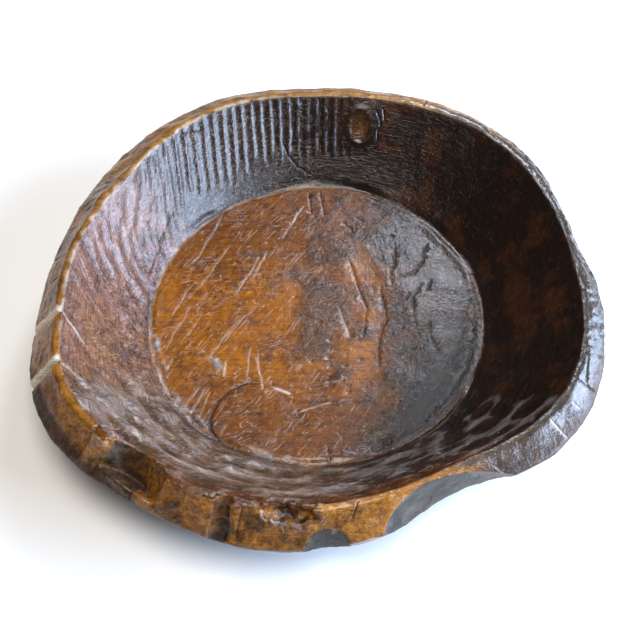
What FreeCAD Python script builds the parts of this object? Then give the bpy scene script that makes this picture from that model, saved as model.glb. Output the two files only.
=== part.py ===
import FreeCAD, Part
import math
import os

from FreeCAD import Vector

# A heavy bowl hewn from one block of hardwood, in millimetres.
# It stands on its foot: the origin is the middle of the foot and +Z points up.
# -Y is the side with the two scoops, where the rim is cut away from outside.

height = 102.0              # foot to crest
floor_thickness = 22.0
floor_radius = 176.0        # flat round floor inside
foot_radius = 188.0         # flat round foot outside
crest_width = 5.0           # the level top of the rim, before it falls away outwards
wall_hollow = 1.15          # above 1, the inner wall steepens towards the crest
belly = 1.55                # above 1, the outer wall bulges between foot and belt

wall_steps = (0.25, 0.55)           # heights of the inner wall's middle rings, as fractions
belly_steps = (0.12, 0.35, 0.68)    # the same for the outer wall, from foot to belt

# The rim was cut by eye. Every 15 degrees from +X, anticlockwise:
# the radius of the crest's inner edge, how far the rim reaches outwards from there to the
# widest line of the bowl (the belt), and how far the belt lies below the crest.
rim_stations = (
    (256, 18, 8), (256, 12, 7), (260, 17, 7), (262, 17, 6),
    (257, 18, 5), (249, 18, 5), (244, 19, 5), (247, 20, 6),
    (246, 24, 8), (240, 29, 12), (234, 35, 18), (238, 29, 20),
    (243, 29, 25), (250, 33, 28), (262, 34, 28), (258, 33, 28),
    (256, 28, 27), (252, 31, 27), (250, 29, 25), (245, 27, 20),
    (244, 24, 16), (257, 29, 11), (266, 26, 10), (263, 22, 10),
)

# Shallow scoops hewn off the outer side, from the bevel down past the belt. The deepest line of each one
# passes two points, given by direction and radius: one at crest height and one at scoop_level.
# The last value is the radius of the hollow.
scoops = (
    (272.4, 264.5, 272.4, 267.0, 24.0),
    (293.0, 248.5, 296.0, 247.5, 85.0),
)
scoop_level = 75.0
scoop_reach = 90.0          # how far a scoop's cut runs along its line, up and down from the crest

# Drying splits through the rim: direction, width and depth where each one meets the crest,
# and width and depth where it runs out past the belt.
splits = (
    (192.6, 2.5, 5.0, 6.0, 9.0),
    (204.7, 3.0, 5.0, 8.0, 10.0),
    (218.4, 1.5, 3.0, 2.5, 6.0),
    (222.8, 2.0, 4.0, 3.5, 7.0),
    (226.7, 2.0, 4.0, 4.0, 8.0),
)
split_reach = 14.0          # how far a split's cut runs outwards past the belt
split_reach_inside = 3.0    # how far it runs inwards past the crest

# Rounded channels across the bevel: direction, radius of the tool, its depth at the crest and at the belt.
channels = (
    (233.8, 42.0, 2.0, 7.0),
    (252.6, 8.0, 0.5, 6.5),
)

# A pocket where bark had grown into the wood: direction, radius from the middle, height,
# half its length along the rim, half its width and half its depth.
bark_pocket = (265.0, 257.0, 99.0, 23.0, 8.0, 9.0)


def around(direction, radius, z):
    angle = math.radians(direction)
    return Vector(radius * math.cos(angle), radius * math.sin(angle), z)


def station_directions():
    step = 360.0 / len(rim_stations)
    return [index * step for index in range(len(rim_stations))]


def rim_at(direction):
    """Inner radius, reach and drop of the rim in any direction, between the stations."""
    step = 360.0 / len(rim_stations)
    place = (direction % 360.0) / step
    first = int(place) % len(rim_stations)
    second = (first + 1) % len(rim_stations)
    share = place - int(place)
    return [a + (b - a) * share for a, b in zip(rim_stations[first], rim_stations[second])]


def ring(radius_and_height):
    """A closed smooth line round the bowl, from a function of a station's three values."""
    points = [around(direction, *radius_and_height(*values))
              for direction, values in zip(station_directions(), rim_stations)]
    curve = Part.BSplineCurve()
    curve.interpolate(points, PeriodicFlag=True)
    return Part.Wire(curve.toShape())


def foot_line(inner, reach, drop):
    return foot_radius, 0.0


def belly_line(step):
    out = (1.0 - (1.0 - step) ** belly) ** (1.0 / belly)

    def line(inner, reach, drop):
        belt = inner + reach
        return foot_radius + (belt - foot_radius) * out, (height - drop) * step
    return line


def belt_line(inner, reach, drop):
    return inner + reach, height - drop


def crest_outer_line(inner, reach, drop):
    return inner + crest_width, height


def crest_inner_line(inner, reach, drop):
    return inner, height


def wall_line(step):
    out = step ** (1.0 / wall_hollow)

    def line(inner, reach, drop):
        radius = floor_radius + (inner - floor_radius) * out
        return radius, floor_thickness + (height - floor_thickness) * step
    return line


def floor_line(inner, reach, drop):
    return floor_radius, floor_thickness


def skin(rings):
    return Part.makeLoft(rings, False, False).Faces


def make_blank():
    """The bowl before its edge was cut into: foot, belly, bevel, crest, inner wall and floor."""
    foot, belt, floor = ring(foot_line), ring(belt_line), ring(floor_line)
    crest_outer, crest_inner = ring(crest_outer_line), ring(crest_inner_line)
    crest = Part.makeFace([crest_outer, crest_inner], "Part::FaceMakerBullseye")
    faces = [Part.Face(foot), Part.Face(floor)] + crest.Faces
    faces += skin([foot] + [ring(belly_line(step)) for step in belly_steps] + [belt])
    faces += skin([belt, crest_outer])
    faces += skin([floor] + [ring(wall_line(step)) for step in wall_steps] + [crest_inner])
    shell = Part.Shell(faces)
    shell.sewShape()
    blank = Part.Solid(shell)
    if blank.Volume < 0:
        blank.reverse()
    return blank


def make_scoop(crest_direction, crest_radius, low_direction, low_radius, scoop_radius):
    top = around(crest_direction, crest_radius + scoop_radius, height)
    down = around(low_direction, low_radius + scoop_radius, scoop_level) - top
    down.normalize()
    return Part.makeCylinder(scoop_radius, 2.0 * scoop_reach, top - down * scoop_reach, down)


def triangle(direction, radius, z, width, depth):
    """An upright V across the radial direction, open at the top."""
    along = around(direction + 90.0, 1.0, 0.0)
    middle = around(direction, radius, z)
    lift = Vector(0, 0, depth)
    corners = [middle - along * width + lift, middle + along * width + lift, middle - lift]
    return Part.makePolygon(corners + corners[:1])


def make_split(direction, crest_width_here, crest_depth, belt_width, belt_depth):
    inner, reach, drop = rim_at(direction)
    slope = drop / reach
    start = inner - split_reach_inside
    end = inner + reach + split_reach
    ends = [triangle(direction, start, height + slope * split_reach_inside, crest_width_here, crest_depth),
            triangle(direction, end, height - slope * (end - inner), belt_width, belt_depth)]
    return Part.makeLoft(ends, True, True)


def make_channel(direction, tool_radius, crest_depth, belt_depth):
    inner, reach, drop = rim_at(direction)
    start = around(direction, inner, height + tool_radius - crest_depth)
    end = around(direction, inner + reach, height - drop + tool_radius - belt_depth)
    axis = end - start
    past = axis * (split_reach / axis.Length)
    return Part.makeCylinder(tool_radius, axis.Length + 2.0 * split_reach, start - past, axis)


def make_bark_pocket():
    direction, radius, z, half_length, half_width, half_depth = bark_pocket
    ball = Part.makeSphere(1.0)
    stretch = FreeCAD.Matrix()
    stretch.scale(half_width, half_length, half_depth)
    pocket = ball.transformGeometry(stretch)
    pocket.rotate(Vector(0, 0, 0), Vector(0, 0, 1), direction)
    pocket.translate(around(direction, radius, z))
    return pocket


def make_bowl():
    bowl = make_blank()
    for values in scoops:
        bowl = bowl.cut(make_scoop(*values))
    for values in channels:
        bowl = bowl.cut(make_channel(*values))
    for values in splits:
        bowl = bowl.cut(make_split(*values))
    bowl = bowl.cut(make_bark_pocket())
    return max(bowl.Solids, key=lambda solid: solid.Volume)


os.makedirs("parts", exist_ok=True)

bowl = make_bowl()
bowl.exportStep("parts/bowl.step")
box = bowl.optimalBoundingBox()
print("bowl", "valid" if bowl.isValid() else "not valid", "solids", len(bowl.Solids),
      "volume %.0f cm3" % (bowl.Volume / 1000.0))
print("box x %.1f..%.1f y %.1f..%.1f" % (box.XMin, box.XMax, box.YMin, box.YMax),
      "z %.1f..%.1f" % (box.ZMin, box.ZMax))
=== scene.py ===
import math

import bmesh
import bpy
import numpy as np
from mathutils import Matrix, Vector
from mathutils.bvhtree import BVHTree


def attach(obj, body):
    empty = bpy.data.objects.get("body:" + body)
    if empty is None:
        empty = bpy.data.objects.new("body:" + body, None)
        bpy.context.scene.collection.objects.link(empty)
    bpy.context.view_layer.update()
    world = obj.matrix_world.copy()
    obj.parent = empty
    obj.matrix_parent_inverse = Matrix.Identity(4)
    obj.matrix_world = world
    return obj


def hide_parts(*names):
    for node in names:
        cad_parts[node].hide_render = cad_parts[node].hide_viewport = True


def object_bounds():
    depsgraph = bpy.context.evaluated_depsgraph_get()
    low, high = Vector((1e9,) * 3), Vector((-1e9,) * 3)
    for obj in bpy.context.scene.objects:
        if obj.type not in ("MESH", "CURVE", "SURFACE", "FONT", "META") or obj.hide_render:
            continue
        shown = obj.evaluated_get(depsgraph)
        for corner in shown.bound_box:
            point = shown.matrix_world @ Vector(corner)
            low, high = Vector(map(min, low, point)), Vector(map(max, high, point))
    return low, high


# A bowl hewn from one block of hardwood and waxed. Sizes below are in millimetres unless a name says otherwise,
# the grain runs along X, and directions are degrees from +X, anticlockwise seen from above.

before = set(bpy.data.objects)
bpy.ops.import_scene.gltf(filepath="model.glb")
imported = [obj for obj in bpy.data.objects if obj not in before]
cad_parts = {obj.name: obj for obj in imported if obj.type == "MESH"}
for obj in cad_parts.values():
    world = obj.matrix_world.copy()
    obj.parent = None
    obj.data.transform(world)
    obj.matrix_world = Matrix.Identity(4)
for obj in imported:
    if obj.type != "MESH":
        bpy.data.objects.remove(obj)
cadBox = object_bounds()
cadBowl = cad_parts["bowl"]


def linear(hexColour):
    parts = [int(hexColour[i:i + 2], 16) / 255.0 for i in (1, 3, 5)]
    return np.array([c / 12.92 if c <= 0.04045 else ((c + 0.055) / 1.055) ** 2.4 for c in parts])


def addNode(tree, kind, settings=None):
    # a key that is one of the node's own settings sets it, and any other is a socket's name or number
    node = tree.nodes.new(kind)
    settings = settings or {}
    own = [key for key in settings if isinstance(key, str) and hasattr(node, key)]
    for key in own:
        setattr(node, key, settings[key])
    for key, value in settings.items():
        if key in own:
            continue
        if isinstance(value, bpy.types.NodeSocket):
            tree.links.new(value, node.inputs[key])
        else:
            node.inputs[key].default_value = value
    return node


def mathsIn(tree):
    # a function that adds one Math node to this tree
    def maths(operation, a, b=0.0, c=0.0, clamp=False):
        settings = {"operation": operation, "use_clamp": clamp, 0: a, 1: b, 2: c}
        return addNode(tree, "ShaderNodeMath", settings).outputs[0]
    return maths


def smooth(low, high, x):
    t = np.clip((x - low) / (high - low), 0.0, 1.0)
    return t * t * (3.0 - 2.0 * t)


def wobble(points, size, seed):
    # smooth noise from -1 to 1, its bumps about as wide as size
    grid = points / size + 1000.0
    cell = np.floor(grid).astype(np.int64)
    part = grid - cell
    part = part * part * (3.0 - 2.0 * part)
    total = np.zeros(len(points))
    for dx in (0, 1):
        for dy in (0, 1):
            for dz in (0, 1):
                mixed = ((cell[:, 0] + dx) * 73856093 ^ (cell[:, 1] + dy) * 19349663
                         ^ (cell[:, 2] + dz) * 83492791)
                mixed = (mixed ^ (seed * 2654435761)) & 0xFFFFFFFF
                mixed = ((mixed ^ (mixed >> 15)) * 2246822519) & 0xFFFFFFFF
                mixed = ((mixed ^ (mixed >> 13)) * 3266489917) & 0xFFFFFFFF
                value = ((mixed ^ (mixed >> 16)) & 0xFFFF) / 32767.5 - 1.0
                weight = ((part[:, 0] if dx else 1 - part[:, 0]) * (part[:, 1] if dy else 1 - part[:, 1])
                          * (part[:, 2] if dz else 1 - part[:, 2]))
                total += weight * value
    return total


def readPoints(mesh):
    flat = np.zeros(len(mesh.vertices) * 3)
    mesh.vertices.foreach_get("co", flat)
    return flat.reshape(-1, 3) * 1000.0


def readNormals(mesh):
    flat = np.zeros(len(mesh.vertices) * 3)
    mesh.vertices.foreach_get("normal", flat)
    return flat.reshape(-1, 3)


def writePoints(mesh, points):
    mesh.vertices.foreach_set("co", (points / 1000.0).ravel())
    mesh.update()


def writeFields(mesh, fields):
    for name, values in fields.items():
        mesh.attributes.new(name, "FLOAT", "POINT").data.foreach_set("value", values.astype(np.float32))


def settled(piece, name):
    # the piece with its modifiers turned into plain mesh
    depsgraph = bpy.context.evaluated_depsgraph_get()
    mesh = bpy.data.meshes.new_from_object(piece.evaluated_get(depsgraph))
    mesh.name = name
    piece.modifiers.clear()
    old = piece.data
    piece.data = mesh
    bpy.data.meshes.remove(old)
    return mesh


# What the CAD bowl measures: the height of everything seen from above, by direction and distance.

survey = {"directionStep": 2.0, "distanceStep": 1.0}


def measureBowl():
    cadMesh = cadBowl.data
    tree = BVHTree.FromPolygons([v.co for v in cadMesh.vertices], [p.vertices for p in cadMesh.polygons])
    directions = np.arange(0.0, 360.0, survey["directionStep"])
    farthest = max(abs(c) for corner in cadBox for c in (corner.x, corner.y)) * 1000.0
    distances = np.arange(0.0, farthest + 4.0, survey["distanceStep"])
    heights = np.full((len(directions), len(distances)), np.nan)
    for i, direction in enumerate(directions):
        a = math.radians(direction)
        for j, distance in enumerate(distances):
            above = Vector((distance * math.cos(a), distance * math.sin(a), 1000.0)) / 1000.0
            hit = tree.ray_cast(above, Vector((0, 0, -1)))[0]
            if hit is not None:
                heights[i, j] = hit.z * 1000.0
    top = np.nanmax(heights)
    floorLevel = heights[0, 0]
    shape = {"tree": tree, "top": top, "floor": floorLevel, "directions": directions}
    crestIn, crestOut, beltLevel, floorEdge = [], [], [], []
    for row in heights:
        seen = np.where(~np.isnan(row))[0]
        high = np.where(row > top - 1.2)[0]
        if len(high) == 0:
            high = np.array([np.nanargmax(row)])
        crestIn.append(distances[high[0]])
        crestOut.append(distances[high[-1]])
        beltLevel.append(row[seen[-1]])
        floorEdge.append(distances[np.where(row < floorLevel + 0.6)[0][-1]])
    for name, values in (("crestIn", crestIn), ("crestOut", crestOut), ("beltLevel", beltLevel)):
        around = np.array(values, float)
        stacked = np.stack([np.roll(around, k) for k in range(-3, 4)])
        shape[name] = np.median(stacked, axis=0)  # the splits and the pocket don't count
    shape["floorRadius"] = float(np.median(floorEdge))
    return shape


shape = measureBowl()
wallAt = {"radius": 232.0, "length": 115.0}     # the middle of the inner wall, and from its foot to the crest
print("measured: top %.1f, floor level %.1f, floor radius %.0f"
      % (shape["top"], shape["floor"], shape["floorRadius"]))


def placeOf(points):
    # direction, distance from the middle, and what the survey says for that direction
    direction = np.degrees(np.arctan2(points[:, 1], points[:, 0])) % 360.0
    distance = np.hypot(points[:, 0], points[:, 1])
    around = {"direction": direction, "distance": distance}
    for name in ("crestIn", "crestOut", "beltLevel"):
        line = np.append(shape[name], shape[name][0])
        around[name] = np.interp(direction, np.append(shape["directions"], 360.0), line)
    return around


def alongWall(zone):
    # millimetres round the wall and up it
    return zone["direction"] * math.pi / 180 * wallAt["radius"], zone["share"] * wallAt["length"]


def arc(direction, middle, half, soft):
    # 1 within half degrees of a direction, falling to 0 over soft degrees more
    away = np.abs((direction - middle + 180.0) % 360.0 - 180.0)
    return 1.0 - smooth(half, half + soft, away)


def zonesOf(points):
    place = placeOf(points)
    r, z = place["distance"], points[:, 2]
    share = np.clip((z - shape["floor"]) / (shape["top"] - shape["floor"]), 0.0, 1.0)
    edge = shape["floorRadius"]
    rise = np.clip((r - edge) / np.maximum(place["crestIn"] - edge, 1.0), 0.0, 1.0)
    wallLevel = shape["floor"] + (shape["top"] - shape["floor"]) * rise ** 1.15
    inside = 1.0 - smooth(place["crestIn"] - 1.0, place["crestIn"] + 1.5, r)
    inside *= smooth(-9.0, -6.0, z - wallLevel)
    floorPart = inside * (1.0 - smooth(edge - 4.0, edge + 3.0, r))
    outside = 1.0 - inside
    beltSide = outside * smooth(place["beltLevel"] - 3.0, place["beltLevel"] + 2.0, z) * (r > edge)
    crest = outside * smooth(shape["top"] - 2.2, shape["top"] - 0.8, z)
    crest *= 1.0 - smooth(0.0, 3.0, r - place["crestOut"])
    foot = outside * (1.0 - smooth(0.5, 3.0, z))
    place.update(share=share, inside=inside, floorPart=floorPart, wall=inside - floorPart, crest=crest,
                 foot=foot, bevel=beltSide * (1.0 - crest), outer=outside * (1.0 - beltSide) * (1.0 - foot))
    return place


# The blank: the CAD bowl as an even mesh, fine enough to carve.

blank = {"grain": 1.5, "fineReach": 2.6, "mostTriangles": 194000}


def makeBlank():
    mesh = cadBowl.data.copy()
    mesh.name = "hewnBowl"
    mesh.materials.clear()
    work = bmesh.new()
    work.from_mesh(mesh)
    bmesh.ops.remove_doubles(work, verts=work.verts, dist=0.00001)
    work.to_mesh(mesh)
    work.free()
    piece = bpy.data.objects.new("hewnBowl", mesh)
    bpy.context.scene.collection.objects.link(piece)
    remesh = piece.modifiers.new("evenMesh", "REMESH")
    remesh.mode = "VOXEL"
    remesh.voxel_size = blank["grain"] / 1000.0
    settled(piece, "hewnBowl")
    return piece


bowl = makeBlank()
print("blank: %d points" % len(bowl.data.vertices))

# Lines cut or split into the wood: points on the surface, half width, depth (a ridge is below 0),
# how dark it is and how pale, from 0 to 1. A point with two values lies on the floor.

floorCracks = {"half": 0.85, "depth": 1.0, "dark": 0.85, "pale": 0.0, "wander": 1.2, "lines": [
    [(35, 73), (40, 57), (47, 28), (54, 5), (51, -23), (46, -40)],
    [(69, 41), (73, 4), (73, -14), (66, -33), (64, -50), (65, -67), (63, -77)],
    [(88, 90), (87, 65), (81, 52), (82, 34)],
    [(125, 97), (117, 67), (106, 51), (88, 46)],
    [(117, 40), (104, 20), (103, -2), (107, -21)],
    [(116, -11), (121, -34), (129, -57)],
    [(-9, 170), (-6, 133)], [(4, 170), (9, 133)], [(101, 26), (95, 13)], [(126, 46), (119, 25)],
    [(30, 126), (38, 116), (42, 109)], [(45, 131), (54, 123)],
    [(21, -136), (27, -149)], [(11, -150), (14, -175)]]}

floorScores = {"half": 0.9, "depth": 0.5, "dark": 0.12, "pale": 0.35, "wander": 1.4, "lines": [
    [(-142, 60), (-129, 75), (-123, 94), (-115, 109), (-103, 146)], [(-127, 28), (-95, 92)],
    [(-153, -7), (-146, 7), (-139, 28), (-131, 40)], [(-145, -23), (-132, 9)], [(-128, -20), (-119, 1)],
    [(-99, -45), (-79, -10), (-57, 14)], [(-155, -50), (-149, -30), (-141, -10)], [(-146, -59), (-153, -75)],
    [(-125, -13), (-133, -30)], [(-67, -42), (-69, -85)], [(-60, -49), (-52, -96)],
    [(-109, -88), (-124, -126)], [(-104, -95), (-116, -130)], [(-116, -89), (-130, -117)],
    [(-88, 20), (-60, 78)], [(-70, 40), (-52, 84)], [(-40, 96), (-12, 152)], [(-110, -60), (-88, -20)],
    [(24, 10), (36, -34)], [(-20, -120), (20, -108)]]}

lobeEdge = {"half": 2.2, "depth": 1.3, "dark": 0.75, "pale": 0.0, "wander": 1.0, "lines": [
    [(-82, -160), (-93, -153), (-102, -140), (-104, -126), (-96, -107), (-85, -94), (-69, -86), (-54, -88)]]}

seams = {"half": 1.6, "depth": -0.8, "dark": 0.0, "pale": 0.75, "wander": 0.6, "lines": [
    [(-45, -91), (-25, -99)], [(-93, -80), (-93, -60)]]}

edgeRidge = {"half": 3.0, "depth": -1.6, "dark": 0.0, "pale": 0.08, "wander": 0.8, "lines": [
    [(158, -66), (156, -80), (146, -106), (130, -130), (112, -148), (84, -163)]]}

wallCracks = {"half": 1.1, "depth": 1.4, "dark": 0.9, "pale": 0.0, "wander": 2.0, "lines": [
    [(-157, 122, 48), (-168, 92, 39), (-172, 73, 34), (-176, 59, 32), (-182, 31, 30)],
    [(-151, 188, 98), (-127, 200, 91)], [(-41, 214, 66), (-33, 201, 50), (-20, 192, 38), (-3, 187, 32)],
    [(68, 233, 93), (73, 219, 78), (69, 207, 64)], [(76, 232, 95), (78, 222, 82)],
    [(38, -246, 101), (29, -259, 91)], [(253, -91, 100), (247, -133, 96)],
    [(-30, 206, 58), (-24, 222, 82)], [(92, -190, 62), (128, -178, 70)]]}

# the pale of the split ends is a painted highlight on their lit faces
splitEnds = {"half": 1.4, "depth": 1.8, "dark": 0.3, "pale": 0.5, "wander": 1.2, "lines": [
    [(-243, -53, 101), (-232, -66, 90), (-222, -78, 79)],
    [(-236, -108, 101), (-215, -123, 87), (-203, -134, 80)],
    [(-229, -143, 98), (-212, -146, 91), (-202, -146, 88)], [(-190, -176, 101), (-176, -173, 89)],
    [(-177, -186, 101), (-166, -178, 88)]]}

# the pale of these checks is a painted highlight on their lit faces
paleChecks = {"half": 0.8, "depth": 0.4, "dark": 0.0, "pale": 0.75, "wander": 0.3, "lines": [
    [(155, -210, 95), (163, -219, 89)], [(206, -168, 101), (222, -183, 92)],
    [(228, -150, 99), (239, -158, 93)]]}

darkChecks = {"half": 1.1, "depth": 1.4, "dark": 0.9, "pale": 0.0, "wander": 0.4, "lines": [
    [(234, -127, 102), (256, -138, 93)], [(-252, 20, 101), (-272, 22, 88)], [(-249, -8, 101), (-270, -10, 88)],
    [(-252, 60, 101), (-262, 62, 92)], [(-150, -215, 98), (-163, -238, 78)], [(-60, -248, 99), (-66, -268, 76)],
    [(-222, 118, 102), (-229, 121, 98)], [(120, 226, 102), (127, 240, 97)], [(60, 252, 101), (63, 266, 96)]]}

# painted shadow: the notch is cut and laid near black, as the shade in its gap
notchCutAndShadow = {"half": 6.5, "depth": 2.0, "dark": 1.0, "pale": 0.0, "wander": 0.5, "lines": [
    [(-77, -246, 97), (-78, -256, 90), (-79, -268, 74)], [(-76, -256, 90), (-76, -270, 72)]]}

# painted glints: bluish-white streaks of colour laid where the wood shines, on the bark pocket and the lower
# left of the floor, each a little raised
paintedGlints = {"half": 3.4, "depth": -0.5, "dark": 0.0, "pale": 0.0, "tone": "paintedGlint", "wander": 2.4, "lines": [
    [(-38, -258, 97), (-30, -262, 94), (-20, -266, 90)], [(-22, -256, 99), (-14, -262, 94)],
    [(-122, -50), (-112, -54), (-98, -62)], [(-105, -60), (-96, -74)],
    [(-143, -96), (-132, -112), (-122, -122), (-108, -134)],
    [(-130, -106), (-112, -116)], [(-120, -128), (-104, -140)],
    [(-168, -28), (-160, -56), (-150, -80)], [(-60, -164), (-20, -172)]]}

lineSets = [floorCracks, floorScores, lobeEdge, seams, edgeRidge, wallCracks, splitEnds, paleChecks, darkChecks,
            notchCutAndShadow, paintedGlints]


def layLine(points, wander, seed):
    # the line in steps of 3 mm, with a little wander, put down on the surface
    corners = [Vector((p[0], p[1], p[2] if len(p) == 3 else shape["floor"])) for p in points]
    laid = []
    for a, b in zip(corners, corners[1:]):
        steps = max(1, int((b - a).length / 3.0))
        laid += [a.lerp(b, k / steps) for k in range(steps)]
    laid.append(corners[-1])
    laid = np.array([list(p) for p in laid])
    for axis in range(3 if len(points[0]) == 3 else 2):
        laid[:, axis] += wander * wobble(laid, 9.0, seed + axis)
    return np.array([list(shape["tree"].find_nearest(Vector(p) / 1000.0)[0] * 1000.0) for p in laid])


def distanceToLine(points, line):
    # the points in the line's box with a margin, their distance, and how far along they are, from 0 to 1
    margin = 8.0
    low, high = line.min(axis=0) - margin, line.max(axis=0) + margin
    near = np.where(np.all((points > low) & (points < high), axis=1))[0]
    best, along = np.full(len(near), np.inf), np.zeros(len(near))
    for k in range(len(line) - 1):
        a, run = line[k], line[k + 1] - line[k]
        t = np.clip(((points[near] - a) @ run) / max(run @ run, 1e-9), 0.0, 1.0)
        gap = np.linalg.norm(points[near] - a - t[:, None] * run, axis=1)
        closer = gap < best
        best[closer] = gap[closer]
        along[closer] = (k + t[closer]) / (len(line) - 1)
    return near, best, along


laidLines = []
for number, lineSet in enumerate(lineSets):
    for count, points in enumerate(lineSet["lines"]):
        laidLines.append((lineSet, layLine(points, lineSet["wander"], 100 * number + 7 * count)))


def taper(along):
    # a line is a quarter as strong at its ends as in its middle
    return smooth(0.0, 0.16, along) * (1.0 - smooth(0.84, 1.0, along)) * 0.75 + 0.25


def refineNearLines(piece):
    # twice as many points where a line will be cut, so that it isn't jagged
    points = readPoints(piece.data)
    near = np.zeros(len(points), bool)
    for lineSet, line in laidLines:
        found, gap, along = distanceToLine(points, line)
        near[found[gap < lineSet["half"] + blank["fineReach"]]] = True
    work = bmesh.new()
    work.from_mesh(piece.data)
    work.verts.ensure_lookup_table()
    edges = [e for e in work.edges if near[e.verts[0].index] and near[e.verts[1].index]]
    bmesh.ops.subdivide_edges(work, edges=edges, cuts=1, use_grid_fill=True)
    bmesh.ops.triangulate(work, faces=[f for f in work.faces if len(f.verts) > 4])
    work.to_mesh(piece.data)
    work.free()


refineNearLines(bowl)
print("refined: %d points, %d lines" % (len(bowl.data.vertices), len(laidLines)))

# Tool marks: a Geometry Nodes tree that cuts flutes, facets and scallops over the whole surface.

toolMarks = {
    "Flute width": 10.5, "Flute depth": 1.7,            # a gouge pulled down the far wall
    "Facet width": 14.0, "Facet length": 34.0, "Facet depth": 0.95,     # adze cuts on the left wall
    "Scallop width": 30.0, "Scallop length": 15.0, "Scallop depth": 3.0,  # short chips on the near wall
    "Chip size": 24.0, "Chip depth": 0.8,               # broad cuts outside, and in the shade on the right
    "Dish size": 34.0, "Dish depth": 0.45,              # shallow hollows over the floor
    "Grit depth": 0.22, "Seed": 4,
}

handWork = {
    "edgeGrooveHalf": 4.0, "edgeGrooveDepth": 1.6,      # left by the gouge where wall and floor meet
    "lipHeight": 0.7,
    "knot": (50.0, 221.0, 76.0), "knotAcross": 13.0, "knotUp": 22.0, "knotRise": 1.3,
    "knotReach": (15.0, 16.0, 22.0),                    # how far its dark ring lies from its heart
    "smallScoop": {"x": 12.0, "half": 22.0, "top": 88.0},
    "pocket": 265.0, "wideSplits": (191.9, 203.9),      # directions
    "pits": [(15, -34), (15, -45), (14, -56), (15, -66), (14, -78), (13, -88), (32, -52), (30, -66), (29, -77),
             (31, -88), (33, -96), (-114, -136), (-18, -118), (86, 104), (-4, -60), (46, -58), (3, -12),
             (-22, 20)],
    "pitHalf": 2.0, "pitDepth": 1.6, "rimWobble": 1.3, "wallWobble": 1.1,
}


def scoopFacesOf(points, zone):
    # the scoops are the steep faces above mid height on the near side, and the small one has its own limits
    amount = np.zeros(len(points))
    lowest, between = 46.0, 280.0
    small = handWork["smallScoop"]
    near = (arc(zone["direction"], 284.0, 22.0, 4.0) > 0.5) & (zone["inside"] < 0.5) & (points[:, 2] > lowest)
    for k in np.where(near)[0]:
        steep = shape["tree"].find_nearest(Vector(points[k]) / 1000.0)[1].z
        beside = points[k, 2] > small["top"] or abs(points[k, 0] - small["x"]) > small["half"]
        if -0.2 < steep < 0.55 and not (zone["direction"][k] < between and beside):
            amount[k] = 1.0
    return amount * smooth(lowest, 62.0, points[:, 2])


def fromKnotOf(points):
    return np.linalg.norm((points - np.array(handWork["knot"])) / np.array(handWork["knotReach"]), axis=1)


def markZones(mesh):
    # where each tool was used, as attributes that the tree reads
    points = readPoints(mesh)
    zone = zonesOf(points)
    around, upShare = zone["direction"], zone["share"]
    farWall = arc(around, 111.0, 31.0, 9.0) * zone["wall"] * smooth(0.08, 0.2, upShare)
    farWall *= smooth(1.2, 1.9, fromKnotOf(points))
    leftWall = arc(around, 180.0, 36.0, 12.0) * zone["wall"]
    nearWall = arc(around, 266.0, 52.0, 14.0) * zone["wall"] * smooth(0.03, 0.15, upShare)
    rightWall = zone["wall"] * np.clip(1.0 - farWall - leftWall - nearWall, 0.0, 1.0)
    scoopFaces = scoopFacesOf(points, zone)
    chips = np.clip(zone["outer"] + 0.4 * rightWall + 0.55 * zone["foot"] + zone["bevel"] - 0.85 * scoopFaces
                    - 0.7 * zone["bevel"] * arc(around, 318.0, 26.0, 8.0), 0.0, 1.0)
    crestCalm = 1.0 - 0.75 * np.maximum(zone["crest"], zone["wall"] * smooth(0.93, 1.0, upShare))
    grit = 0.35 * zone["floorPart"] + 0.6 * zone["wall"] + zone["outer"] + 0.6 * zone["foot"]
    grit += 0.9 * zone["crest"]
    grit += zone["bevel"] * (0.1 + 1.2 * arc(around, 185.0, 50.0, 20.0) + 0.9 * arc(around, 10.0, 30.0, 15.0))
    aroundMm, upMm = alongWall(zone)
    fields = {"flutes": farWall * crestCalm, "facets": leftWall * crestCalm, "scallops": nearWall * crestCalm,
              "chips": chips * crestCalm, "dishes": zone["floorPart"], "grit": grit, "aroundMm": aroundMm,
              "upMm": upMm}
    writeFields(mesh, fields)
    return list(fields)


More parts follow.
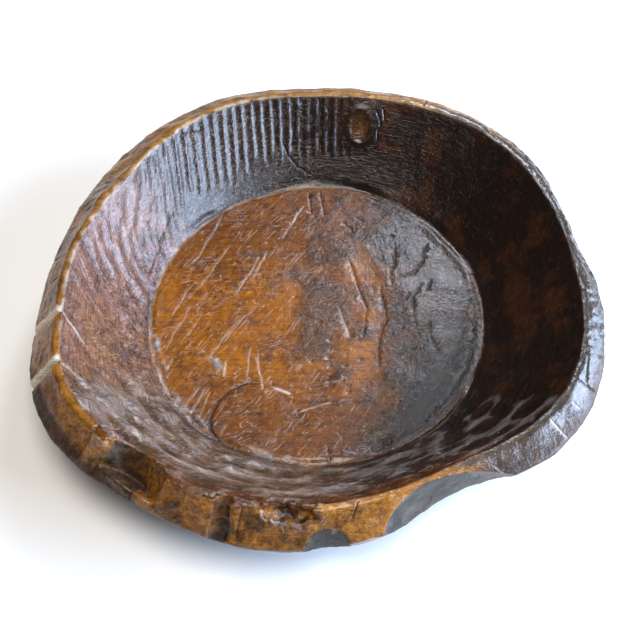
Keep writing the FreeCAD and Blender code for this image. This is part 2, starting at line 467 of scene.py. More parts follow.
def buildToolMarkTree(markMaterial):
    tree = bpy.data.node_groups.new("toolMarks", "GeometryNodeTree")
    tree.interface.new_socket("Geometry", in_out="INPUT", socket_type="NodeSocketGeometry")
    sockets = {}
    for name, value in toolMarks.items():
        kind = "NodeSocketInt" if name == "Seed" else "NodeSocketFloat"
        sockets[name] = tree.interface.new_socket(name, in_out="INPUT", socket_type=kind)
    tree.interface.new_socket("Geometry", in_out="OUTPUT", socket_type="NodeSocketGeometry")
    given = tree.nodes.new("NodeGroupInput").outputs
    maths = mathsIn(tree)

    def field(name):
        return addNode(tree, "GeometryNodeInputNamedAttribute", {"data_type": "FLOAT", 0: name}).outputs[0]

    def vector(x, y, z):
        return addNode(tree, "ShaderNodeCombineXYZ", {0: x, 1: y, 2: z}).outputs[0]

    def vectorMaths(operation, settings):
        return addNode(tree, "ShaderNodeVectorMath", {"operation": operation, **settings}).outputs[0]

    def product(*parts):
        total = parts[0]
        for part in parts[1:]:
            total = maths("MULTIPLY", total, part)
        return total

    position = addNode(tree, "GeometryNodeInputPosition").outputs[0]
    inMm = vectorMaths("SCALE", {0: position, "Scale": 1000.0})
    drift = addNode(tree, "ShaderNodeTexNoise", {"noise_dimensions": "3D", "Vector": inMm, "Scale": 1 / 38.0,
                                                 "Detail": 2.0})
    shift = maths("MULTIPLY", maths("SUBTRACT", drift.outputs[0], 0.5), 6.0)
    along = maths("ADD", field("aroundMm"), shift)
    up = maths("ADD", field("upMm"), shift)

    # flutes: cells side by side, each hollow in the middle, of uneven depth and length
    # the carver stood behind the far wall and pulled every stroke the same way, so they hardly fan out
    sideways = addNode(tree, "ShaderNodeSeparateXYZ", {0: inMm}).outputs[0]
    parallel = maths("ADD", maths("MULTIPLY", sideways, -0.8), maths("MULTIPLY", field("aroundMm"), 0.2))
    step = maths("DIVIDE", maths("ADD", parallel, maths("MULTIPLY", shift, 0.6)), given["Flute width"])
    number = maths("ADD", maths("FLOOR", step), given["Seed"])
    chance = addNode(tree, "ShaderNodeTexWhiteNoise", {"noise_dimensions": "1D", "W": number}).outputs[0]
    across = maths("SUBTRACT", maths("MULTIPLY", maths("FRACT", step), 2.0), 1.0)
    hollow = maths("SUBTRACT", maths("MULTIPLY", across, across), 0.45)
    depthHere = maths("MULTIPLY", given["Flute depth"], maths("ADD", 0.7, maths("MULTIPLY", chance, 0.5)))
    fluteEnd = maths("ADD", 16.0, maths("MULTIPLY", chance, 26.0))
    reach = addNode(tree, "ShaderNodeMapRange", {
        "interpolation_type": "SMOOTHSTEP", "Value": up, "From Min": fluteEnd,
        "From Max": maths("ADD", fluteEnd, 14.0)})
    flutes = product(maths("MULTIPLY", hollow, depthHere), maths("MULTIPLY", reach.outputs[0], field("flutes")))

    def cuts(place, depth, mask):
        # hollows side by side with sharp ridges between them
        cell = addNode(tree, "ShaderNodeTexVoronoi", {
            "voronoi_dimensions": "3D", "feature": "F1", "Vector": place, "Scale": 1.0, "Randomness": 0.85})
        squared = maths("POWER", cell.outputs["Distance"], 2.0)
        bowlShape = maths("SUBTRACT", maths("MULTIPLY", squared, 2.2), 0.5)
        return product(bowlShape, given[depth], field(mask))

    def wallPlace(place, width, length, layer):
        return vector(maths("DIVIDE", place, given[width]), maths("DIVIDE", up, given[length]), layer)

    def boxPlace(size, stretch):
        # cells in space, stretched upwards
        tall = maths("MULTIPLY", given[size], stretch)
        return vectorMaths("DIVIDE", {0: inMm, 1: vector(given[size], given[size], tall)})

    slant = maths("ADD", along, maths("MULTIPLY", up, 0.75))
    facets = cuts(wallPlace(slant, "Facet width", "Facet length", 3.0), "Facet depth", "facets")
    scallops = cuts(wallPlace(along, "Scallop width", "Scallop length", 7.0), "Scallop depth", "scallops")
    chips = cuts(boxPlace("Chip size", 1.5), "Chip depth", "chips")
    dishes = cuts(boxPlace("Dish size", 1.0), "Dish depth", "dishes")
    gritNoise = addNode(tree, "ShaderNodeTexNoise", {"noise_dimensions": "3D", "Vector": inMm, "Scale": 1 / 7.0,
                                                     "Detail": 3.0, "Roughness": 0.6}).outputs[0]
    grit = product(maths("SUBTRACT", gritNoise, 0.5), given["Grit depth"],
                   maths("MULTIPLY", field("grit"), 5.0))

    small = maths("ADD", chips, maths("ADD", dishes, grit))
    cut = maths("ADD", maths("ADD", flutes, facets), maths("ADD", scallops, small))
    normal = addNode(tree, "GeometryNodeInputNormal").outputs[0]
    offset = vectorMaths("SCALE", {0: normal, "Scale": maths("DIVIDE", cut, 1000.0)})
    stored = addNode(tree, "GeometryNodeStoreNamedAttribute", {
        "data_type": "FLOAT", "domain": "POINT", "Geometry": given["Geometry"], "Name": "hewn", "Value": cut})
    moved = addNode(tree, "GeometryNodeSetPosition", {"Geometry": stored.outputs[0], "Offset": offset})
    real = addNode(tree, "GeometryNodeRealizeInstances", {"Geometry": moved.outputs[0]})
    finished = addNode(tree, "GeometryNodeSetMaterial", {"Geometry": real.outputs[0], "Material": markMaterial})
    addNode(tree, "NodeGroupOutput", {"Geometry": finished.outputs[0]})
    return tree, {name: socket.identifier for name, socket in sockets.items()}


# Waxed hewn hardwood: tropical hardwood cut with adze and gouge, oiled and waxed, dark with age. The eye gets
# warm brown wood, more orange on the left of the floor and near black in the cuts, near black on the right wall
# as painted shade, and a broken soft shine on every ridge, partly a painted highlight.
waxedWood = {
    "grainWidth": 4.0, "grainLength": 80.0,     # dark and light growth lines, in mm
    "fibreWidth": 1.2, "fibreLength": 14.0,     # real pores are 0.2 mm wide, too fine to show, so drawn wider
    "patch": 30.0, "dent": 7.0, "fineDent": 2.8, "creaseAcross": 8.0,
    "scoreAcross": 5.0, "scoreAlong": 60.0,     # scratches left by tools and use
    "strokeWide": 20.0, "strokeThin": 2.2,      # crinkles left by the edge of the tool on the walls
    "roughness": 0.22, "ior": 1.45, "wax": 0.4, "waxRoughness": 0.1,
    "woodRelief": 0.00055, "waxRelief": 0.00012,    # in metres
}


def makeWaxedWood():
    material = bpy.data.materials.new("waxedHewnHardwood")
    material.use_nodes = True
    tree = material.node_tree
    tree.nodes.clear()
    place = addNode(tree, "ShaderNodeTexCoord").outputs["Object"]
    maths = mathsIn(tree)

    def attribute(name, output="Fac"):
        return addNode(tree, "ShaderNodeAttribute", {"attribute_name": name}).outputs[output]

    def noise(size, turn=0.0, detail=4.0, warp=0.0, shift=0.0):
        # size: millimetres along X, Y and Z that one bump of the pattern covers
        mapped = addNode(tree, "ShaderNodeMapping", {
            "vector_type": "TEXTURE", "Vector": place, "Rotation": (0, 0, math.radians(turn)),
            "Scale": tuple(s / 1000.0 for s in size), "Location": (shift, shift, shift)}).outputs[0]
        return addNode(tree, "ShaderNodeTexNoise", {"Vector": mapped, "Scale": 1.0, "Detail": detail,
                                                    "Roughness": 0.6, "Distortion": warp}).outputs[0]

    def strokes(wide, thin, slant):
        # crinkles on the walls: wide along the stroke, thin across it, leaning by slant
        lean = maths("ADD", sweep, maths("MULTIPLY", climb, slant))
        mapped = addNode(tree, "ShaderNodeCombineXYZ", {0: maths("DIVIDE", lean, wide),
                                                        1: maths("DIVIDE", climb, thin)}).outputs[0]
        return addNode(tree, "ShaderNodeTexNoise", {"Vector": mapped, "Scale": 1.0, "Detail": 2.0,
                                                    "Roughness": 0.55, "Distortion": 0.3}).outputs[0]

    def between(value, low, high, start=0.0, end=1.0):
        return addNode(tree, "ShaderNodeMapRange", {"Value": value, "From Min": low, "From Max": high,
                                                    "To Min": start, "To Max": end}).outputs[0]

    def creases(pattern, thin):
        # thin wandering lines where a pattern crosses its middle value
        return between(maths("ABSOLUTE", maths("SUBTRACT", pattern, 0.5)), thin, thin * 0.2)

    def mixed(blend, factor, a, b):
        settings = {"data_type": "RGBA", "blend_type": blend, 0: factor, 6: a, 7: b}
        return addNode(tree, "ShaderNodeMix", settings).outputs[2]

    def paint(hexColour):
        return (*linear(hexColour), 1.0)

    w = waxedWood
    tone = attribute("tone", "Color")
    hewn, dark, pale = attribute("hewn"), attribute("dark"), attribute("pale")
    dull, rough, marks = attribute("dull"), attribute("rough"), attribute("marks")
    onWall, sweep, climb = attribute("onWall"), attribute("sweep"), attribute("climb")
    chatter = strokes(w["strokeWide"], w["strokeThin"], 0.3)
    slanted = strokes(w["strokeThin"] * 1.1, w["strokeWide"] * 1.6, 0.75)
    growth = noise((w["grainLength"], w["grainWidth"], w["grainWidth"]), detail=5.0, warp=0.5)
    fibres = noise((w["fibreLength"], w["fibreWidth"], w["fibreWidth"]), detail=3.0)
    patches = noise((w["patch"],) * 3, detail=6.0, warp=0.7)
    blots = noise((w["patch"] * 0.45,) * 3, detail=8.0, warp=1.0, shift=0.67)
    dents = noise((w["dent"],) * 3, detail=4.0, warp=0.6, shift=0.13)
    fineDents = noise((w["fineDent"],) * 3, detail=3.0, warp=0.3, shift=0.23)
    across, along = w["scoreAcross"], w["scoreAlong"]
    scoreA = creases(noise((across, along, 14.0), turn=-33.0, detail=1.0, shift=0.31), 0.022)
    scoreB = creases(noise((across * 1.4, along * 0.5, 12.0), turn=-52.0, detail=1.0, shift=0.57), 0.02)
    scoreC = creases(noise((along * 0.6, across, 9.0), turn=12.0, detail=1.0, shift=0.77), 0.02)
    curls = creases(noise((w["creaseAcross"],) * 3, detail=1.5, warp=1.2, shift=0.41), 0.018)
    gaps = noise((22.0,) * 3, detail=2.0, shift=0.91)
    scores = maths("MAXIMUM", maths("MULTIPLY", scoreA, between(gaps, 0.49, 0.6)),
                   maths("MULTIPLY", scoreB, between(gaps, 0.49, 0.4)))
    scores = maths("MAXIMUM", scores, maths("MULTIPLY", scoreC, between(patches, 0.5, 0.6)))
    scores = maths("MULTIPLY", scores, marks)
    curls = maths("MULTIPLY", maths("MULTIPLY", curls, between(patches, 0.52, 0.44)), marks)

    # every layer darkens the wood where its pattern is strong; the ridges are lighter as a painted
    # highlight, and the scores are lighter, partly pale wear and partly a painted highlight
    growthTint = addNode(tree, "ShaderNodeCombineColor", {
        channel: between(growth, 0.32, 0.68, low, 1.2) for channel, low in ((0, 0.76), (1, 0.7), (2, 0.64))})
    colour = mixed("MULTIPLY", 1.0, tone, growthTint.outputs[0])
    for amount, shade in (
            (between(blots, 0.5, 0.62, 0.0, 0.4), "#8c7866"),
            (between(patches, 0.46, 0.66, 0.0, 0.8), "#a08c80"),
            (maths("MULTIPLY", between(dents, 0.42, 0.66), maths("ADD", 0.25, rough)), "#a3917f"),
            (maths("MULTIPLY", between(fineDents, 0.5, 0.66), rough), "#7d6a5c"),
            (between(fibres, 0.42, 0.66, 0.0, 0.35), "#94857a"),
            (between(hewn, 0.0, -1.0, 0.0, 0.6), "#8a7a70")):
        colour = mixed("MULTIPLY", amount, colour, paint(shade))
    # painted highlight: the ridges of the tool marks turn lighter and greyer
    ridges = between(hewn, 0.5, 1.3, 0.0, 0.8)
    colour = mixed("MIX", ridges, colour, mixed("ADD", 0.5, colour, paint("#75716e")))
    crinkles = maths("MULTIPLY", between(chatter, 0.5, 0.64), maths("MULTIPLY", onWall, 0.7))
    colour = mixed("MULTIPLY", crinkles, colour, paint("#87766c"))
    colour = mixed("MULTIPLY", maths("MULTIPLY", curls, 0.7), colour, paint("#80705f"))
    colour = mixed("MIX", maths("MULTIPLY", scores, 0.65), colour, mixed("ADD", 0.6, colour, paint("#9a8a74")))
    colour = mixed("MIX", dark, colour, paint("#120a06"))
    # pale: bare wood in the scratches, and a painted highlight on the lit faces of splits and checks and along
    # edges
    paleWearAndHighlight = maths("MULTIPLY", pale, between(fibres, 0.35, 0.6, 0.5, 1.0))
    colour = mixed("MIX", paleWearAndHighlight, colour, paint("#d6cab6"))

    # one relief from all of them, which the wood shows in full and the wax only faintly, since it fills it
    relief = maths("MULTIPLY", between(fibres, 0.35, 0.65), -0.12)
    for pattern, strength in (
            (scores, 0.55),
            (maths("MULTIPLY", chatter, onWall), 0.8),
            (maths("MULTIPLY", slanted, onWall), maths("MULTIPLY", marks, 1.5)),
            (curls, 0.45),
            (growth, 0.5),
            (dents, maths("ADD", 0.8, maths("MULTIPLY", rough, 2.6))),
            (fineDents, maths("ADD", 0.15, maths("MULTIPLY", rough, 1.5)))):
        relief = maths("ADD", relief, maths("MULTIPLY", pattern, strength))
    woodBump = addNode(tree, "ShaderNodeBump", {"Height": relief, "Distance": w["woodRelief"], "Strength": 1.0})
    waxBump = addNode(tree, "ShaderNodeBump", {"Height": relief, "Distance": w["waxRelief"], "Strength": 1.0})

    gloss = maths("ADD", w["roughness"] - 0.1, maths("MULTIPLY", patches, 0.22))
    gloss = maths("ADD", gloss, maths("MULTIPLY", dull, 0.35), clamp=True)
    shader = addNode(tree, "ShaderNodeBsdfPrincipled", {
        "Base Color": colour, "Roughness": gloss, "IOR": w["ior"], "Normal": woodBump.outputs[0],
        "Coat Weight": maths("MULTIPLY", maths("SUBTRACT", 1.0, dull), w["wax"]),
        "Coat Roughness": w["waxRoughness"], "Coat IOR": w["ior"], "Coat Normal": waxBump.outputs[0]})
    addNode(tree, "ShaderNodeOutputMaterial", {"Surface": shader.outputs[0]})
    return material


waxedWoodMaterial = makeWaxedWood()
markNames = markZones(bowl.data)
markTree, markInputs = buildToolMarkTree(waxedWoodMaterial)
marking = bowl.modifiers.new("toolMarks", "NODES")
marking.node_group = markTree
for name, value in toolMarks.items():
    marking[markInputs[name]] = value
settled(bowl, "hewnBowl")
print("tool marks cut")


# One by one: the floor's edge groove, the knot, the pits, every crack and line, and the uneven rim.

def floorEdgeOf(points):
    # the radius where the wandering groove round the floor runs
    return shape["floorRadius"] + 2.0 + 5.0 * wobble(points, 60.0, 11) + 1.5 * wobble(points, 14.0, 12)


def carve(mesh):
    points = readPoints(mesh)
    normals = readNormals(mesh)
    zone = zonesOf(points)
    h = handWork
    push = np.zeros(len(points))    # outwards along the normal, in mm
    sink = zone["inside"]

    fromEdge = zone["distance"] - floorEdgeOf(points)
    groove = np.exp(-(fromEdge / h["edgeGrooveHalf"]) ** 2) * sink
    lip = np.exp(-((fromEdge + 8.0) / 4.0) ** 2) * sink
    depthHere = 0.6 + 0.9 * smooth(-0.2, 0.6, wobble(points, 45.0, 13))
    push += -h["edgeGrooveDepth"] * groove * depthHere + h["lipHeight"] * lip * depthHere

    low = zone["wall"] * (1.0 - smooth(0.85, 1.0, zone["share"]))
    push += h["wallWobble"] * wobble(points, 55.0, 14) * (low + 0.9 * zone["outer"])
    push += 0.5 * wobble(points, 30.0, 15) * zone["floorPart"]

    fromKnot = (points - np.array(h["knot"])) / np.array([h["knotAcross"], h["knotUp"] * 0.75, h["knotUp"]])
    ring = np.linalg.norm(fromKnot, axis=1)
    near = zone["wall"] * (ring < 2.0)
    push += near * h["knotRise"] * (np.exp(-((ring - 1.0) / 0.22) ** 2) - 0.9 * np.exp(-(ring / 0.5) ** 2))
    push += near * 0.25 * np.sin(ring * 14.0) * np.exp(-(ring / 0.9) ** 2)

    for pit in h["pits"]:
        away = np.hypot(points[:, 0] - pit[0], points[:, 1] - pit[1])
        push -= h["pitDepth"] * zone["floorPart"] * np.clip(1.0 - (away / h["pitHalf"]) ** 2, 0.0, 1.0)

    lobeAway = np.hypot((points[:, 0] + 62.0) / 46.0, (points[:, 1] + 128.0) / 44.0)
    push += 0.9 * zone["floorPart"] * (1.0 - smooth(0.6, 1.0, lobeAway))
    rightBand = arc(zone["direction"], 322.0, 30.0, 16.0) * np.exp(-((zone["distance"] - 163.0) / 9.0) ** 2)
    push += -1.6 * (rightBand * sink)

    pocket = arc(zone["direction"], h["pocket"], 6.0, 2.0) * smooth(240.0, 250.0, zone["distance"])
    bark = 1.6 * wobble(points, 5.0, 16) + 1.0 * wobble(points, 2.6, 17)
    push += pocket * smooth(86.0, 92.0, points[:, 2]) * bark

    leftBevel = arc(zone["direction"], 200.0, 55.0, 12.0) * zone["bevel"]
    push += leftBevel * (0.9 * wobble(points, 17.0, 18) + 0.35 * wobble(points, 5.0, 19))
    rightRim = arc(zone["direction"], 12.0, 32.0, 10.0) * np.maximum(zone["bevel"], zone["crest"])
    push += rightRim * smooth(1.0, 6.0, zone["distance"] - zone["crestIn"]) * 0.9 * wobble(points, 4.5, 20)

    for lineSet, line in laidLines:
        found, gap, along = distanceToLine(points, line)
        ends = taper(along)
        half = lineSet["half"] * ends
        push[found] -= lineSet["depth"] * ends * np.clip(1.0 - gap / half, 0.0, 1.0) ** 0.8

    points = points + normals * push[:, None]
    rim = smooth(80.0, shape["top"], points[:, 2])
    seat = np.stack([points[:, 0], points[:, 1], np.zeros(len(points))], axis=1)
    points[:, 2] += rim * h["rimWobble"] * (0.6 * wobble(seat, 34.0, 21) + 0.4 * wobble(seat, 13.0, 22))
    outwards = points[:, :2] / np.maximum(zone["distance"], 1.0)[:, None]
    points[:, :2] += outwards * (rim * 0.8 * wobble(seat, 22.0, 23))[:, None]
    points[:, 2] = np.maximum(points[:, 2], 0.0)
    writePoints(mesh, points)


carve(bowl.data)


def trianglesOf(piece):
    return sum(len(p.vertices) - 2 for p in piece.data.polygons)


def thin(piece):
    triangles = trianglesOf(piece)
    fewer = piece.modifiers.new("fewerFaces", "DECIMATE")
    fewer.decimate_type = "COLLAPSE"
    fewer.ratio = min(1.0, blank["mostTriangles"] / triangles)
    settled(piece, "hewnBowl")
    for polygon in piece.data.polygons:
        polygon.use_smooth = True
    print("thinned from %d triangles to %d" % (triangles, trianglesOf(piece)))


thin(bowl)

# Colours laid over the surface, zone by zone. The material adds grain, patches and scores to them.

tones = {
    "floorWarm": "#9a5c0e", "floorAmber": "#764209", "floorMiddle": "#684222", "floorRight": "#352613",
    "floorDeep": "#150e05", "paintedGlint": "#93a0aa",
    "wallLeft": "#865c48", "wallLow": "#8e6238", "wallNear": "#6e5642", "wallNearRight": "#2e1e12",
    "wallFar": "#3a281c", "wallRightShade": "#1e0c04", "crestNear": "#62340d",
    "bevelLeft": "#a5712a", "bevelOlive": "#40361a", "bevelNear": "#a26c24", "bevelRight": "#4e3f32",
    "notchWall": "#382b1a", "rimFar": "#a3763a", "rimRight": "#453c32",
    "scoop": "#55534c", "scoopShade": "#211f1a", "outer": "#4c2e16", "foot": "#3c2610",
}


def paintZones(mesh):
    points = readPoints(mesh)
    zone = zonesOf(points)
    around, r, share = zone["direction"], zone["distance"], zone["share"]
    colour = np.tile(linear(tones["outer"]), (len(points), 1))

    def lay(name, amount):
        amount = np.clip(amount, 0.0, 1.0)[:, None]
        colour[:] = colour * (1.0 - amount) + linear(tones[name]) * amount

    patch = wobble(points, 26.0, 31)
    small = wobble(points, 9.0, 32)
    scoopFaces = scoopFacesOf(points, zone)
    lay("foot", zone["foot"])
    lay("wallFar", zone["wall"])
    # the left wall's tone is laid brighter and pinker, partly a painted sheen
    lay("wallLeft", zone["wall"] * arc(around, 192.0, 34.0, 24.0))
    lay("wallLow", zone["wall"] * arc(around, 208.0, 14.0, 16.0) * (0.45 + 0.4 * patch))
    # the near wall's tone is laid greyer and brighter, partly a painted sheen
    lay("wallNear", zone["wall"] * arc(around, 252.0, 34.0, 18.0))
    lay("wallNearRight", zone["wall"] * arc(around, 304.0, 16.0, 22.0))
    # painted shade: the right wall, away from the window, is laid near black
    rightSide = np.maximum(arc(around, 30.0, 55.0, 26.0), 0.8 * arc(around, 340.0, 18.0, 20.0))
    lay("wallRightShade", zone["wall"] * rightSide)
    lay("crestNear", zone["wall"] * arc(around, 20.0, 60.0, 20.0) * smooth(0.0, 0.6, patch + 0.4 * small) * 0.3)
    lay("crestNear", zone["wall"] * arc(around, 262.0, 38.0, 12.0) * smooth(0.76, 0.86, share))
    lay("floorWarm", zone["floorPart"])
    nearAndFar = np.maximum(smooth(60.0, 130.0, -points[:, 1]), smooth(20.0, 110.0, points[:, 1]))
    lay("floorAmber", zone["floorPart"] * nearAndFar)
    middle = np.exp(-(((points[:, 0] - 12.0) / 44.0) ** 2 + ((points[:, 1] - 5.0) / 110.0) ** 2))
    lay("floorMiddle", zone["floorPart"] * smooth(0.25, 0.8, middle + 0.4 * patch))
    towardsRight = points[:, 0] + 24.0 * patch + 9.0 * small + 0.05 * points[:, 1]
    lay("floorRight", zone["floorPart"] * smooth(26.0, 98.0, towardsRight) * 0.92)
    towardsEdge = smooth(100.0, 160.0, r + 8.0 * patch)
    lay("floorDeep", zone["floorPart"] * arc(around, 318.0, 26.0, 22.0) * towardsEdge * 0.8)
    lay("bevelLeft", zone["bevel"] * arc(around, 190.0, 60.0, 14.0))
    flecks = smooth(0.0, 0.6, patch + 0.5 * small)
    lay("bevelOlive", zone["bevel"] * arc(around, 190.0, 60.0, 14.0) * flecks * 0.75)
    lay("notchWall", zone["bevel"] * arc(around, 235.3, 7.4, 1.2) * 0.85)
    lay("bevelNear", zone["bevel"] * arc(around, 262.0, 23.0, 8.0))
    flecks = smooth(0.1, 0.6, small + 0.3 * patch)
    lay("bevelOlive", zone["bevel"] * arc(around, 256.0, 22.0, 8.0) * flecks * 0.6)
    lay("bevelNear", zone["bevel"] * arc(around, 290.0, 10.0, 8.0))
    lay("bevelRight", zone["bevel"] * arc(around, 330.0, 22.0, 8.0))
    lay("rimRight", zone["bevel"] * arc(around, 18.0, 34.0, 12.0))
    lay("rimFar", zone["bevel"] * arc(around, 102.0, 54.0, 14.0))
    flecks = smooth(0.1, 0.7, small + 0.5 * patch)
    lay("bevelOlive", zone["bevel"] * arc(around, 120.0, 44.0, 10.0) * flecks * 0.6)
    lay("crestNear", zone["crest"] * arc(around, 250.0, 36.0, 14.0))
    lay("bevelNear", zone["crest"] * arc(around, 286.0, 14.0, 8.0))
    lay("bevelRight", zone["crest"] * arc(around, 325.0, 22.0, 8.0))
    lay("bevelLeft", zone["crest"] * arc(around, 180.0, 34.0, 16.0))
    lay("rimFar", zone["crest"] * arc(around, 100.0, 54.0, 14.0))
    lay("rimRight", zone["crest"] * arc(around, 10.0, 44.0, 12.0))
    # the scoops' grey is partly weathered wood and partly a painted reflection
    lay("scoop", scoopFaces)
    lay("scoopShade", scoopFaces * smooth(-0.3, 0.6, wobble(points, 14.0, 35) + 0.5 * small) * 0.8)
    # painted shade: the middle of the small scoop is laid darker
    lay("scoopShade", scoopFaces * arc(around, 272.0, 3.4, 1.2) * 0.85)

    dark, pale = np.zeros(len(points)), np.zeros(len(points))
    for lineSet, line in laidLines:
        found, gap, along = distanceToLine(points, line)
        ends = taper(along)
        near = np.clip(1.35 - gap / (lineSet["half"] * ends), 0.0, 1.0)
        near *= 0.55 + 0.45 * smooth(-0.5, 0.3, wobble(points[found], 6.0, 33))
        dark[found] = np.maximum(dark[found], near * lineSet["dark"])
        pale[found] = np.maximum(pale[found], near * lineSet["pale"])
        if "tone" in lineSet:
            amount = (near * smooth(-0.3, 0.5, wobble(points[found], 3.5, 34)))[:, None]
            colour[found] = colour[found] * (1.0 - amount) + linear(tones[lineSet["tone"]]) * amount
    for pit in handWork["pits"]:
        away = np.hypot(points[:, 0] - pit[0], points[:, 1] - pit[1])
        dark = np.maximum(dark, 0.8 * zone["floorPart"] * np.clip(1.2 - away / handWork["pitHalf"], 0.0, 1.0))
    fromEdge = r - floorEdgeOf(points)
    grooveShade = np.exp(-((fromEdge - 1.0) / 2.4) ** 2) * smooth(-0.5, 0.3, patch)
    dark = np.maximum(dark, 0.6 * zone["inside"] * grooveShade)
    # painted highlight: a pale line along the lip of the floor's edge groove
    edgeLine = np.exp(-((fromEdge + 2.6) / 1.5) ** 2) * smooth(-0.4, 0.4, small)
    pale = np.maximum(pale, 0.4 * zone["inside"] * arc(around, 155.0, 55.0, 16.0) * edgeLine)
    for direction in handWork["wideSplits"]:  # the lit side of each one is painted pale, a painted highlight
        lit = arc(around, direction, 0.5, 0.35) * smooth(56.0, 64.0, points[:, 2])
        pale = np.maximum(pale, (1.0 - zone["inside"]) * lit)
    ring = fromKnotOf(points)
    dark = np.maximum(dark, 0.8 * zone["wall"] * np.exp(-((ring - 1.25) / 0.16) ** 2))
    lay("bevelNear", zone["wall"] * (0.3 + 0.2 * small) * np.exp(-(ring / 0.8) ** 4))
    pocket = arc(around, handWork["pocket"], 5.2, 1.2)
    pocket *= smooth(246.0, 250.0, r) * (1.0 - smooth(262.0, 266.0, r))
    dark = np.maximum(dark, 0.75 * pocket * smooth(85.0, 90.0, points[:, 2]) * smooth(-0.2, 0.3, small))
    # painted highlight: a pale line along the inner edge of the crest
    crestLine = np.exp(-((r - zone["crestIn"] - 0.5) / 1.3) ** 2) * smooth(0.96, 0.99, share)
    pale = np.maximum(pale, 0.6 * crestLine * arc(around, 150.0, 38.0, 16.0) * smooth(-0.4, 0.2, small))

    wall, bevel = zone["wall"], zone["bevel"]
    dull = 0.9 * scoopFaces + 0.8 * zone["outer"] + 0.9 * zone["foot"]
    dull += 0.2 * bevel * arc(around, 190.0, 90.0, 20.0)
    dull = np.clip(dull, 0.0, 1.0)
    rough = 0.15 + 0.1 * wall - 0.15 * wall * arc(around, 110.0, 40.0, 12.0)
    rough += 0.5 * bevel * arc(around, 215.0, 60.0, 14.0) + 0.6 * bevel * arc(around, 15.0, 34.0, 14.0)
    onRight = smooth(60.0, 90.0, points[:, 0])
    rough += zone["floorPart"] * (0.55 * smooth(-0.1, 0.5, patch + 0.8 * middle - 0.3) + 0.85 * onRight)
    rough += 0.6 * wall * arc(around, 140.0, 56.0, 20.0) * (1.0 - smooth(0.2, 0.5, share + 0.12 * patch))
    rough = np.clip(rough + 0.3 * zone["outer"] + 0.3 * scoopFaces, 0.05, 1.0)

    marks = zone["floorPart"] * (1.0 - 0.75 * smooth(30.0, 80.0, points[:, 0]))
    marks += 0.65 * wall * arc(around, 165.0, 62.0, 20.0) + 0.5 * wall * arc(around, 262.0, 30.0, 20.0)
    marks += 0.12 * wall + 0.35 * zone["outer"] + bevel * (0.4 - 0.35 * arc(around, 318.0, 30.0, 8.0))
    onWall = wall * (1.0 - arc(around, 0.0, 2.0, 10.0))  # no crinkles where the direction jumps from 360 to 0
    sweep, climb = alongWall(zone)

    toneLayer = mesh.color_attributes.new("tone", "FLOAT_COLOR", "POINT")
    opaque = np.column_stack([colour, np.ones(len(points))])
    toneLayer.data.foreach_set("color", opaque.astype(np.float32).ravel())
    writeFields(mesh, {"dark": dark, "pale": pale, "dull": dull, "rough": rough,
                       "marks": np.clip(marks, 0.0, 1.0), "onWall": onWall, "sweep": sweep, "climb": climb})


paintZones(bowl.data)
for name in markNames:
    bowl.data.attributes.remove(bowl.data.attributes[name])
bowl.data.materials.clear()
bowl.data.materials.append(waxedWoodMaterial)
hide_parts("bowl")
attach(bowl, "root")
print("bowl finished: attributes", [a.name for a in bowl.data.attributes if not a.name.startswith(".")])

# Studio: a pale floor, a broad cool window on the right, a thin skylight behind, a warm room light above the
# near side, and a pale world.

studio = {
    "floorSide": 12000.0, "floorColour": "#f4f3f0", "worldColour": "#eceae6", "worldStrength": 0.11,
    "lights": [  # name, direction, elevation, distance, width, height, watts, colour
        ("window", -8.0, 24.0, 1500.0, 1500.0, 800.0, 81.0, "#c8deff"),
        ("skylight", 70.0, 42.0, 1600.0, 320.0, 560.0, 13.0, "#e6eeff"),
        ("room", -90.0, 80.0, 1900.0, 900.0, 900.0, 29.0, "#fff8ef")],
    "cameraDirection": -90.0, "cameraElevation": 56.0, "cameraDistance": 950.0, "lens": 50.73,
    "aim": (4.3, -10.0, 22.0), "lampAim": (0.0, 0.0, 50.0),
}


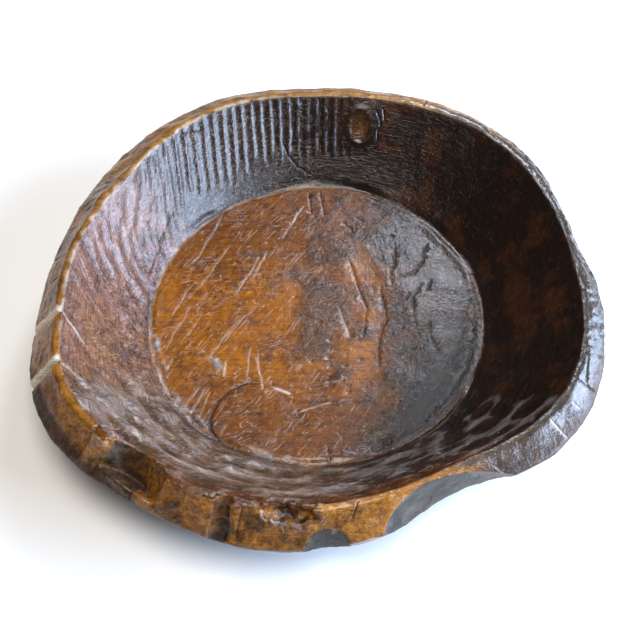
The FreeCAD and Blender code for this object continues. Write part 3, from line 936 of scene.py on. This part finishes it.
def seenFrom(aim, direction, elevation, distance):
    # where something stands that looks at aim, and how it is turned
    a, e = math.radians(direction), math.radians(elevation)
    away = Vector((math.cos(a) * math.cos(e), math.sin(a) * math.cos(e), math.sin(e)))
    spot = aim + away * distance / 1000.0
    return spot, (aim - spot).to_track_quat("-Z", "Y").to_euler()


def makeStudio():
    s = studio
    half = s["floorSide"] / 2000.0
    mesh = bpy.data.meshes.new("studioFloor")
    corners = [(-half, -half, 0), (half, -half, 0), (half, half, 0), (-half, half, 0)]
    mesh.from_pydata(corners, [], [(0, 1, 2, 3)])
    floor = bpy.data.objects.new("studioFloor", mesh)
    bpy.context.scene.collection.objects.link(floor)
    # matt studio paper, which gives the eye nothing but a pale ground
    paper = bpy.data.materials.new("matPaper")
    paper.use_nodes = True
    matt = paper.node_tree.nodes["Principled BSDF"].inputs
    matt["Base Color"].default_value = (*linear(s["floorColour"]), 1.0)
    matt["Roughness"].default_value = 0.9
    mesh.materials.append(paper)

    world = bpy.data.worlds.new("paleRoom")
    world.use_nodes = True
    background = world.node_tree.nodes["Background"].inputs
    background["Color"].default_value = (*linear(s["worldColour"]), 1.0)
    background["Strength"].default_value = s["worldStrength"]
    bpy.context.scene.world = world

    lampAim = Vector(s["lampAim"]) / 1000.0
    for name, direction, elevation, distance, width, height, watts, colour in s["lights"]:
        lamp = bpy.data.lights.new(name, "AREA")
        lamp.shape, lamp.size, lamp.size_y = "RECTANGLE", width / 1000.0, height / 1000.0
        lamp.energy, lamp.color = watts, linear(colour)
        light = bpy.data.objects.new(name, lamp)
        light.location, light.rotation_euler = seenFrom(lampAim, direction, elevation, distance)
        bpy.context.scene.collection.objects.link(light)

    lens = bpy.data.cameras.new("camera")
    lens.lens, lens.sensor_width, lens.clip_start, lens.clip_end = s["lens"], 36.0, 0.01, 50.0
    camera = bpy.data.objects.new("camera", lens)
    camera.location, camera.rotation_euler = seenFrom(
        Vector(s["aim"]) / 1000.0, s["cameraDirection"], s["cameraElevation"], s["cameraDistance"])
    bpy.context.scene.collection.objects.link(camera)
    bpy.context.scene.camera = camera
    bpy.context.scene.view_settings.view_transform = "Standard"


makeStudio()
print("studio ready")
